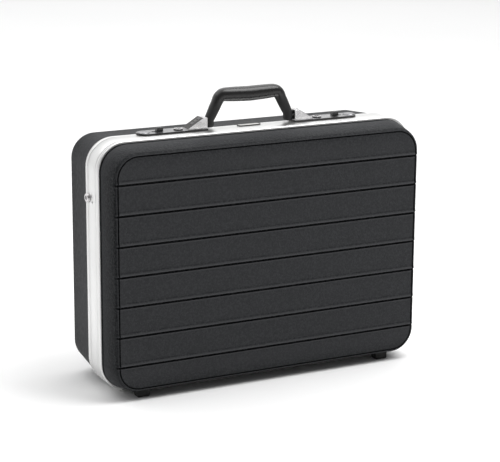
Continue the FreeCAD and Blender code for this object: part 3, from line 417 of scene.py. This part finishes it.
def handle_plastic():
    """Black moulding, matte on the legs and smoother on the grip."""
    finish = Finish("black_handle_moulding", specular=0.45)
    finish.colour(finish.between(finish.noise(500.0), (0.007, 0.007, 0.007), (0.014, 0.0135, 0.0135)))
    position = finish.tree.nodes.new("ShaderNodeSeparateXYZ")
    finish.tree.links.new(finish.place, position.inputs["Vector"])
    legs_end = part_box("handle_frame")[1].z - 0.016
    blend = 0.006
    legs_roughness = 0.56
    grip_roughness = 0.27
    smoothness = finish.spread(
        position.outputs["Z"], legs_end - blend, legs_end + blend, legs_roughness, grip_roughness)
    worn = finish.spread(finish.noise(90.0), 0.3, 0.7, 0.9, 1.12)
    finish.tree.links.new(finish.multiply(smoothness, worn), finish.shader.inputs["Roughness"])
    finish.bump(finish.noise(1500.0), 0.08, 0.0001)
    return finish.material


def gloss_plastic():
    finish = Finish("gloss_black_plastic", specular=0.5)
    finish.colour(finish.between(finish.noise(200.0), (0.008, 0.008, 0.009), (0.018, 0.018, 0.018)))
    finish.roughness(finish.noise(300.0), 0.18, 0.30)
    finish.bump(finish.noise(1500.0), 0.05, 0.0001)
    return finish.material


def foot_rubber():
    finish = Finish("black_rubber", specular=0.3)
    finish.colour(finish.between(finish.noise(80.0), (0.010, 0.010, 0.010), (0.022, 0.021, 0.020)))
    finish.roughness(finish.noise(200.0), 0.62, 0.8)
    finish.bump(finish.noise(1400.0), 0.3, 0.0002)
    return finish.material


def lining_fabric():
    """Short-pile fabric: crossed threads under a soft nap."""
    finish = Finish("grey_lining_fabric", specular=0.15)
    threads = finish.multiply(finish.wave(420.0, "X"), finish.wave(420.0, "Z"))
    tone = finish.between(finish.noise(12.0), (0.040, 0.041, 0.046), (0.062, 0.063, 0.070))
    finish.colour(finish.between(threads, tone, (0.085, 0.086, 0.094)))
    finish.roughness(finish.noise(300.0), 0.82, 0.96)
    weave = finish.bump(threads, 0.4, 0.0004)
    finish.bump(finish.noise(1200.0), 0.4, 0.0003, under=weave)
    finish.shader.inputs["Sheen Weight"].default_value = 0.25
    return finish.material


def painted_wheel():
    finish = Finish("dark_plated_wheel", metallic=0.6)
    tone = finish.between(finish.noise(300.0), (0.030, 0.030, 0.032), (0.060, 0.060, 0.062))
    finish.colour(finish.between(finish.edges(), tone, (0.25, 0.25, 0.25)))
    finish.roughness(finish.noise(500.0), 0.28, 0.42)
    finish.bump(finish.noise(1600.0), 0.06, 0.0001)
    return finish.material


def floor_paint():
    finish = Finish("pale_floor", specular=0.1)
    finish.colour(finish.between(finish.noise(1.5), (0.86, 0.86, 0.86), (0.90, 0.90, 0.90)))
    finish.roughness(finish.noise(6.0), 0.75, 0.9)
    finish.bump(finish.noise(30.0), 0.02, 0.001)
    return finish.material


def paint(piece, material):
    piece.data.materials.clear()
    piece.data.materials.append(material)


# ---------- shells ----------

def rib_profile():
    """One rib as (height above its crest line, lift) pairs: a long slope facing up, then an undercut drop.

    The flat rows on either side keep the painted highlight on the rib and off the panel.
    """
    shoulder = -0.0014
    groove = 0.0023
    flat_above = [(height, 0.0) for height in (0.0062, 0.0050, 0.0036)]
    slope = [(0.0030, -0.0002), (0.0009, shoulder), (0.0004, -RIB_HEIGHT), (0.0, shoulder)]
    drop = [(-0.0002, -0.0008), (-0.0004, 0.0014), (-0.0008, groove), (-0.0026, groove), (-0.0031, 0.0010)]
    flat_below = [(height, 0.0) for height in (-0.0034, -0.0046, -0.0058)]
    return flat_above + slope + drop + flat_below


def rib_table(size):
    """Samples down the panel's side with extra rows at each rib, and the lift at every row."""
    same_level = 1e-6
    height, radius = size[1:]
    straight = height / 2 - radius
    rows = {}
    for number in range(RIB_COUNT):
        crest = ((RIB_COUNT - 1) / 2 - number) * RIB_PITCH
        for above, lift in rib_profile():
            rows[crest + above] = lift
    marks = []
    turned = set()
    for z in rows:
        if abs(z) < straight:
            marks.append(z / straight)
        else:
            angle = math.asin((abs(z) - straight) / radius) * math.copysign(1, z)
            turned.add((angle, math.copysign(1.0, z)))
    every = set(corner_samples(SHELL_STEPS, marks)) | turned
    samples = sorted(every, key=lambda sample: (-sample[1], -sample[0]))
    lifts = []
    for turn, share in samples:
        z = share * straight + radius * math.sin(turn)
        near = [lift for level, lift in rows.items() if abs(level - z) < same_level]
        lifts.append(near[0] if near else 0.0)
    return samples, lifts


def wall_size(share):
    """The shell's outline part of the way from its mouth to its panel."""
    return tuple(mouth + share * (panel - mouth) for mouth, panel in zip(MOUTH, PANEL))


def shell_stations(edge, far):
    """(share of the depth, inset, y, part of the rib's lift) from the inside round the mouth to the panel."""
    out = math.copysign(1.0, far - edge)
    depth = abs(far - edge)

    def level(before_far):
        return far - out * before_far

    def share(before_far):
        return 1 - before_far / depth

    # The lip inside the frame, the sunk neck at the frame's edge and the ledge above it.
    lip_reach = 0.0036
    lip_inset = 0.0003
    neck = 0.0026
    ledge = 0.0030
    stations = [
        (share(SHELL_WALL), SHELL_WALL, level(SHELL_WALL), 0.0),
        (0.0, SHELL_WALL, edge - out * lip_reach, 0.0),
        (0.0, lip_inset, edge - out * lip_reach, 0.0),
        (0.0, lip_inset, edge + out * 0.0002, 0.0),
        (0.0, neck, edge + out * 0.0003, 0.0),
        (0.0, neck, edge + out * (ledge - 0.0006), 0.0),
        (0.0, 0.0006, edge + out * (ledge - 0.0001), 0.0),
        (0.0, 0.0001, edge + out * (ledge + 0.0006), 0.0),
    ]

    # The rounded edge of the panel.
    round_depth = 0.0052
    round_inset = 0.0026
    round_steps = 5
    edge_lift = 0.9
    for step in range(round_steps + 1):
        turn = math.pi / 2 * step / round_steps
        inset = round_inset * (1 - math.cos(turn))
        before = round_depth * (1 - math.sin(turn))
        stations.append((share(before), inset, level(before), edge_lift * step / round_steps))

    # The groove that borders the panel.
    groove = round_inset + 0.0011
    groove_depth = 0.0024
    groove_lift = 0.2
    bank = 0.0002
    stations += [
        (1.0, round_inset + 0.0003, level(bank), edge_lift),
        (1.0, groove - 0.0004, level(groove_depth), groove_lift),
        (1.0, groove + 0.0006, level(groove_depth), groove_lift),
        (1.0, groove + 0.0010, level(bank), 0.85),
        (1.0, groove + 0.0013, level(0.0), 1.0),
    ]
    return stations


def shell(name, node, body, edge, far, with_ribs):
    """A moulded half: its outline runs from the mouth to the panel, with ribs on the panel or none."""
    inside = shrunk(PANEL, PANEL_BORDER)
    samples, lifts = rib_table(inside) if with_ribs else (corner_samples(SHELL_STEPS), None)
    loops = []
    for share, inset, y, part in shell_stations(edge, far):
        lift = [part * number for number in lifts] if lifts else None
        loops.append(outline(shrunk(wall_size(share), inset), y, samples, lift))
    piece = add_piece(name, finish_mesh(skin(loops, cap_ends=True), name), body, [node])
    paint(piece, GRAINED)


# ---------- linings ----------

def lining(name, node, body, edge, far):
    """Foam-backed fabric in a shell: a soft tray with a rolled rim and a sunk line round its floor."""
    out = math.copysign(1.0, far - edge)
    depth = abs(far - edge)
    cloth = 0.0013
    outer = SHELL_WALL + 0.0003
    rim = edge - out * 0.0002
    rim_roll = out * 0.0008
    floor = far - out * (SHELL_WALL + 0.0004)
    stitch = floor - out * cloth * 0.7
    swell = floor - out * (cloth + 0.0012)
    middle = floor - out * (cloth + 0.0019)
    deep = 1 - SHELL_WALL / depth
    wall = [
        (deep, outer + 0.0006, floor), (0.0, outer, rim + rim_roll), (0.0, outer + 0.0003, rim),
        (0.0, outer + cloth, rim), (0.0, outer + cloth + 0.0002, rim + rim_roll),
    ]
    corner = [
        (deep * 0.9, outer + cloth, floor - out * 0.0050),
        (deep, outer + cloth + 0.0012, floor - out * 0.0022),
        (deep, outer + cloth + 0.0045, floor - out * cloth),
    ]
    bed = [
        (deep, 0.0180, swell), (deep, 0.0200, stitch), (deep, 0.0210, stitch), (deep, 0.0225, swell),
        (deep, 0.0300, middle),
    ]
    samples = corner_samples(LINING_STEPS)
    loops = [outline(shrunk(wall_size(share), inset), y, samples) for share, inset, y in wall + corner + bed]
    mesh = finish_mesh(skin(loops, cap_ends=True), name, sharp_degrees=60.0)
    piece = add_piece(name, mesh, body, [node])
    paint(piece, FABRIC)


def pocket():
    """The pleated document pocket: a padded pouch with a piped edge."""
    low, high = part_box("document_pocket")
    lift = Vector((0, 0, (low.z + high.z) / 2 - MIDDLE_Z))
    corner_radius = 0.012
    least_radius = 0.004
    depth = high.y - low.y
    piping = 0.0016
    back = [(0.0010, low.y), (0.0, low.y + 0.0010)]
    pleats = [(0.0006, low.y + depth * 0.30), (0.0014, low.y + depth * 0.42), (0.0002, low.y + depth * 0.55)]
    # (inset, depth below the front in widths of piping) over the piping, then up the swell to the middle.
    piped = ((0.0006, 2.6), (0.0, 2.0), (0.0004, 1.0), (0.0020, 0.9), (0.0036, 1.6))
    swell = ((0.0100, 1.0), (0.0260, 0.4), (0.0500, 0.1), (0.0800, 0.0))
    front = [(inset, high.y - below * piping) for inset, below in piped + swell]
    samples = corner_samples(POCKET_STEPS)
    loops = []
    for inset, y in back + pleats + front:
        radius = max(corner_radius - inset, least_radius)
        around = (high.x - low.x - 2 * inset, high.z - low.z - 2 * inset, radius)
        loops.append([point + lift for point in outline(around, y, samples)])
    mesh = finish_mesh(skin(loops, cap_ends=True), "pleated_pocket", sharp_degrees=60.0)
    piece = add_piece("pleated_pocket", mesh, "lid", ["document_pocket"])
    paint(piece, FABRIC)


# ---------- frame ----------

def lid_frame():
    """The narrow front band, with rounded edges and a fine sunk line behind its front edge."""
    low = LID_EDGE
    high = LID_PARTING
    line_depth = 0.0004
    profile = [
        (0.0011, low), (0.0004, low + 0.0002), (0.0, low + 0.0008), (0.0, low + 0.0022),
        (line_depth, low + 0.0026), (line_depth, low + 0.0032), (0.0, low + 0.0036),
        (0.0, high - 0.0008), (0.0003, high - 0.0002), (0.0008, high),
        (FRAME_WALL, high), (FRAME_WALL, low),
    ]
    mesh = finish_mesh(band(profile), "front_band")
    paint(add_piece("front_band", mesh, "lid", ["lid_frame"]), ALUMINIUM)


def base_frame():
    """The wide band: a rolled back edge, a groove, the main face and the tongue inside the lid's band."""
    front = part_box("base_frame")[0].y + TONGUE_REACH
    back = BASE_EDGE
    groove = back - 0.0098
    groove_depth = 0.0008
    tongue_out = FRAME_WALL + 0.0005
    tongue_in = tongue_out + 0.0015
    tongue_root = front + 0.0035
    chamfer = 0.0003
    profile = [
        (0.0008, front), (0.0002, front + 0.0003), (0.0, front + 0.0010),
        (0.0, groove - 0.0018), (0.0002, groove - 0.0014), (groove_depth, groove - 0.0012),
        (groove_depth, groove - 0.0002), (0.0002, groove), (0.0, groove + 0.0004),
        (0.0, back - 0.0062), (0.0003, back - 0.0050), (0.0013, back - 0.0006), (0.0017, back),
        (FRAME_WALL, back), (FRAME_WALL, tongue_root), (tongue_in, tongue_root),
        (tongue_in, TONGUE_END + chamfer), (tongue_in - chamfer, TONGUE_END),
        (tongue_out + chamfer, TONGUE_END), (tongue_out, TONGUE_END + chamfer),
        (tongue_out, front),
    ]
    mesh = finish_mesh(band(profile), "wide_band")
    paint(add_piece("wide_band", mesh, "base", ["base_frame"]), ALUMINIUM)


# ---------- locks ----------

def number_wheel(side, number):
    """A wheel with ten notches round its rim."""
    joint = JOINTS[f"wheel_turn_{side}_{number}"]
    centre = Vector(joint["pos_m"])
    axis = Vector(joint["axis"]).normalized()
    across = Vector((0, 1, 0))
    up = axis.cross(across)
    radius = 0.0036
    half = 0.00245
    notches = 10
    steps_per_notch = 6
    notch = 0.00045
    bevel = 0.0004
    bevel_drop = 0.0006
    steps = notches * steps_per_notch
    stations = ((-half, bevel_drop), (-half + bevel, 0.0), (half - bevel, 0.0), (half, bevel_drop))
    loops = []
    for along, drop in stations:
        loop = []
        for step in range(steps):
            turn = 2 * math.pi * step / steps
            cut = notch if step % steps_per_notch == 0 else 0.0
            reach = radius - drop - cut
            outward = across * math.cos(turn) + up * math.sin(turn)
            loop.append(centre + axis * along + outward * reach)
        loops.append(loop)
    shape = bmesh.new()
    add_capped(shape, loops)
    name = f"ridged_wheel_{side}_{number}"
    mesh = finish_mesh(shape, name, sharp_degrees=20.0)
    piece = add_piece(name, mesh, f"wheel_{side}_{number}", [f"number_wheel_{side}_{number}"])
    paint(piece, WHEEL)


def thumb_knob(side):
    """The slide knob: a cap with four grip ridges, on a square stem."""
    node = f"slide_knob_{side}"
    low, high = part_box(node)
    cap_low = high.z - 0.005
    ridges = 4
    ridge_drop = 0.0009
    pitch = (high.x - low.x) / ridges
    top = []
    for ridge in range(ridges):
        start = low.x + ridge * pitch
        top += [
            (start + 0.08 * pitch, high.z - ridge_drop), (start + 0.25 * pitch, high.z),
            (start + 0.75 * pitch, high.z), (start + 0.92 * pitch, high.z - ridge_drop),
        ]
    cap = [(low.x, cap_low)] + top + [(high.x, cap_low)]
    shape = bmesh.new()
    add_capped(shape, [[(x, y, z) for x, z in cap] for y in (low.y, high.y)])
    stem_half = 0.002
    stem_overlap = 0.0002
    centre = (low.x + high.x) / 2
    middle = (low.y + high.y) / 2
    corners = [
        (centre - stem_half, middle - stem_half), (centre + stem_half, middle - stem_half),
        (centre + stem_half, middle + stem_half), (centre - stem_half, middle + stem_half),
    ]
    add_capped(shape, [[(x, y, z) for x, y in corners] for z in (low.z, cap_low + stem_overlap)])
    name = f"thumb_knob_{side}"
    piece = add_piece(name, finish_mesh(shape, name), f"knob_{side}", [node])
    round_edges(piece, 0.0004, limit_degrees=35.0)
    paint(piece, GLOSS)


def two_tone(piece, main, second, wants_second):
    """Paint a piece, giving the second material to the faces that a test of their normal picks."""
    paint(piece, main)
    piece.data.materials.append(second)
    for face in piece.data.polygons:
        face.material_index = int(wants_second(face.normal))


def is_side(normal):
    """Whether a face stands upright, or nearly."""
    return abs(normal.z) < 0.5


def is_slope(normal):
    """Whether a face looks up and along the case."""
    return normal.z > 0.3 and abs(normal.x) > 0.3


def locks():
    for side in SIDES:
        # The upright sides of the plates and collars get the dark plating as painted shade.
        two_tone(soften(f"lock_plate_{side}", 0.0005), NICKEL, EDGE, is_side)
        two_tone(soften(f"key_collar_{side}", 0.0003), CHROME, EDGE, is_side)
        paint(soften(f"key_plug_{side}", 0.00015), WHEEL)
        two_tone(soften(f"wheel_housing_{side}", 0.0005), CHROME, EDGE, is_slope)
        thumb_knob(side)
        for number in (1, 2, 3):
            number_wheel(side, number)


# ---------- handle ----------

def bend(start, control, end, steps):
    """Points on a curve from start to end that leaves and arrives in the direction of the control point."""
    points = []
    for step in range(steps + 1):
        share = step / steps
        points.append(start * (1 - share) ** 2 + control * (2 * share * (1 - share)) + end * share ** 2)
    return points


def handle_path():
    """The right half of the handle's middle line from the foot to the centre, as (x, z) places."""
    low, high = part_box("handle_frame")
    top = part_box("handle_grip")[1].z
    hub_radius = 0.006
    hub = Vector((high.x - hub_radius + 0.0001, low.z + hub_radius))
    knee = hub + Vector((0.0, 0.0035))
    corner = Vector((0.0425, top - 0.0086))
    corner_down_leg = 0.0066
    corner_along_grip = 0.0076
    grip_drop = 0.0098
    leg_end = corner + (knee - corner).normalized() * corner_down_leg
    grip_end = corner - Vector((corner_along_grip, 0.0))
    centre = Vector((0.0, top - grip_drop))
    foot = [Vector((hub.x, low.z + rise)) for rise in (-0.0010, 0.0002, 0.0022)]
    leg_steps = 5
    corner_steps = 9
    grip_steps = 8
    leg = [knee + (leg_end - knee) * (step / leg_steps) for step in range(leg_steps)]
    grip = [grip_end + (centre - grip_end) * (step / grip_steps) for step in range(1, grip_steps + 1)]
    return foot + [hub] + leg + bend(leg_end, corner, grip_end, corner_steps) + grip


def clamped(number):
    return min(1.0, max(0.0, number))


def handle_section(place, foot_z, grip_z):
    """Half thickness in the handle's plane and half depth at a place on the middle line."""
    foot_height = 0.0032
    narrowest = 0.35
    swell_height = 0.0110
    grip_half = 0.042
    widening_start = 0.0100
    widening_height = 0.0150
    rounding = min(1.0, (place.y - foot_z + 0.0010) / foot_height)
    foot_share = math.sqrt(max(0.0, 1 - (1 - rounding) ** 2))
    rise = clamped((place.y - (grip_z - swell_height)) / swell_height)
    swell = rise * rise * (3 - 2 * rise)
    fullness = math.sqrt(max(0.0, 1 - (place.x / grip_half) ** 2)) if place.x < grip_half else 0.0
    climb = clamped((place.y - foot_z - widening_start) / widening_height)
    thick = 0.0061 + climb * 0.0010 + swell * (0.0009 + 0.0018 * fullness)
    deep = 0.0070 + climb * 0.0003 + swell * (0.0009 + 0.0017 * fullness)
    taper = narrowest + (1 - narrowest) * foot_share
    return thick * taper, deep * taper


def handle():
    """One smooth moulding: matte legs that swell into the grip."""
    low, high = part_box("handle_frame")
    middle_y = (low.y + high.y) / 2
    path = handle_path()
    grip_z = path[-1].y
    right = [(place, *handle_section(place, low.z, grip_z)) for place in path]
    left = [(Vector((-place.x, place.y)), thick, deep) for place, thick, deep in reversed(right[:-1])]
    stations = right + left
    sides = 28
    squareness = 2.35

    def squared(part):
        return math.copysign(abs(part) ** (2 / squareness), part)

    loops = []
    for number, (place, thick, deep) in enumerate(stations):
        before = stations[max(number - 1, 0)][0]
        after = stations[min(number + 1, len(stations) - 1)][0]
        along = (after - before).normalized()
        outward = Vector((along.y, 0, -along.x))
        loop = []
        for step in range(sides):
            turn = 2 * math.pi * step / sides
            in_plane = squared(math.cos(turn)) * thick
            depth = squared(math.sin(turn)) * deep
            loop.append(Vector((place.x, middle_y + depth, place.y)) + outward * in_plane)
        loops.append(loop)
    shape = bmesh.new()
    add_capped(shape, loops)
    mesh = finish_mesh(shape, "carry_handle", sharp_degrees=50.0)
    piece = add_piece("carry_handle", mesh, "handle", ["handle_frame", "handle_grip"])
    paint(piece, HANDLE)


# ---------- the rest of the CAD nodes ----------

def badge():
    """A blank oval plate: a dark raised rim round a plain satin middle."""
    piece = soften("badge_plate", 0.0002)
    rim = 0.0013
    step_width = 0.0002
    step_depth = 0.0003
    shape = bmesh.new()
    shape.from_mesh(piece.data)
    upper = [face for face in shape.faces if face.normal.z > 0.9]
    bmesh.ops.inset_region(shape, faces=upper, thickness=rim, depth=0.0)
    bmesh.ops.inset_region(shape, faces=upper, thickness=step_width, depth=-step_depth)
    middle = {tuple(face.calc_center_median()) for face in upper}
    in_rim = [int(tuple(face.calc_center_median()) not in middle) for face in shape.faces]
    shape.to_mesh(piece.data)
    shape.free()
    paint(piece, STEEL)
    piece.data.materials.append(EDGE)
    piece.data.polygons.foreach_set("material_index", in_rim)


def carried_over():
    """Nodes whose CAD shape is right: softened where their edges show, painted where they don't."""
    for side in SIDES:
        paint(soften(f"side_stud_{side}", 0.0003), CHROME)
        paint(soften(f"stud_cap_{side}", 0.0003), GLOSS)
    badge()
    paint(soften("side_rivets", 0.0004), BRIGHT)
    plain = {
        "lining_fabric": FABRIC, "frame_aluminium": ALUMINIUM, "foot_rubber": RUBBER, "hinge_steel": HINGE,
        "inner_steel": STEEL, "shell_plastic": GRAINED, "handle_plastic": HANDLE, "badge_metal": STEEL,
        "rivet_chrome": BRIGHT, "lock_chrome": CHROME, "knob_plastic": GLOSS, "wheel_metal": WHEEL,
    }
    for name, node in NODES.items():
        paint(node, plain[slot_of(name)])


# ---------- studio ----------

def area_light(name, place, aim, size, power):
    """A rectangular lamp that faces a point."""
    data = bpy.data.lights.new(name, "AREA")
    data.shape = "RECTANGLE"
    data.size, data.size_y = size
    data.energy = power
    lamp = bpy.data.objects.new(name, data)
    lamp.location = place
    lamp.rotation_euler = (Vector(aim) - Vector(place)).to_track_quat("-Z", "Y").to_euler()
    bpy.context.scene.collection.objects.link(lamp)


def studio():
    """A pale floor, a world that is brighter behind the case than before it, and two lamps."""
    half = 6
    shape = bmesh.new()
    corners = ((-half, -half), (half, -half), (half, half), (-half, half))
    shape.faces.new([shape.verts.new((x, y, 0.0)) for x, y in corners])
    mesh = bpy.data.meshes.new("floor")
    shape.to_mesh(mesh)
    shape.free()
    floor = bpy.data.objects.new("floor", mesh)
    bpy.context.scene.collection.objects.link(floor)
    paint(floor, floor_paint())

    world = bpy.data.worlds.new("studio")
    world.use_nodes = True
    tree = world.node_tree
    background = tree.nodes["Background"]
    background.inputs["Color"].default_value = (1.0, 1.0, 1.0, 1.0)
    direction = tree.nodes.new("ShaderNodeTexCoord")
    parts = tree.nodes.new("ShaderNodeSeparateXYZ")
    strength = tree.nodes.new("ShaderNodeMapRange")
    tree.links.new(direction.outputs["Generated"], parts.inputs["Vector"])
    tree.links.new(parts.outputs["Y"], strength.inputs["Value"])
    set_range(strength, -0.6, 0.6, 0.22, 1.05)
    tree.links.new(strength.outputs["Result"], background.inputs["Strength"])
    bpy.context.scene.world = world
    bpy.context.scene.view_settings.view_transform = "Standard"

    area_light("overhead", place=(0.1, 1.8, 3.4), aim=(0.1, 1.8, 0.0), size=(7.0, 6.0), power=125.0)
    area_light("softbox", place=(0.75, -0.6, 1.9), aim=(0, 0, 0.35), size=(1.1, 1.7), power=34.0)


def camera():
    """At the photograph's angle, from the left and a little above."""
    data = bpy.data.cameras.new("view")
    data.lens = 129.6
    data.sensor_width = 36.0
    data.clip_end = 50.0
    item = bpy.data.objects.new("view", data)
    bpy.context.scene.collection.objects.link(item)
    yaw = math.radians(26.74)
    pitch = math.radians(14.51)
    roll = math.radians(0.36)
    distance = 2.42
    aim = Vector((-0.0041, -0.0203, 0.1945))
    ahead = Vector((math.sin(yaw) * math.cos(pitch), math.cos(yaw) * math.cos(pitch), -math.sin(pitch)))
    item.location = aim - distance * ahead
    item.rotation_euler = ahead.to_track_quat("-Z", "Y").to_euler()
    item.rotation_euler.rotate_axis("Z", roll)
    bpy.context.scene.camera = item


GRAINED = grained_plastic()
ALUMINIUM = anodised_aluminium()
CHROME = satin_chrome()
NICKEL = dark_nickel()
EDGE = dark_edge()
BRIGHT = bright_chrome()
STEEL = plated_steel("plated_steel", (0.62, 0.62, 0.60), (0.48, 0.48, 0.47), 0.28)
HINGE = plated_steel("hinge_steel", (0.66, 0.66, 0.65), (0.52, 0.52, 0.51), 0.30)
HANDLE = handle_plastic()
GLOSS = gloss_plastic()
RUBBER = foot_rubber()
FABRIC = lining_fabric()
WHEEL = painted_wheel()

shell("ribbed_lid_shell", "lid_shell", "lid", LID_EDGE, FRONT, with_ribs=True)
shell("plain_base_shell", "base_shell", "base", BASE_EDGE, BACK, with_ribs=False)
lining("lid_fabric_lining", "lid_lining", "lid", LID_EDGE, FRONT)
lining("base_fabric_lining", "base_lining", "base", BASE_EDGE, BACK)
pocket()
lid_frame()
base_frame()
locks()
handle()
carried_over()
studio()
camera()
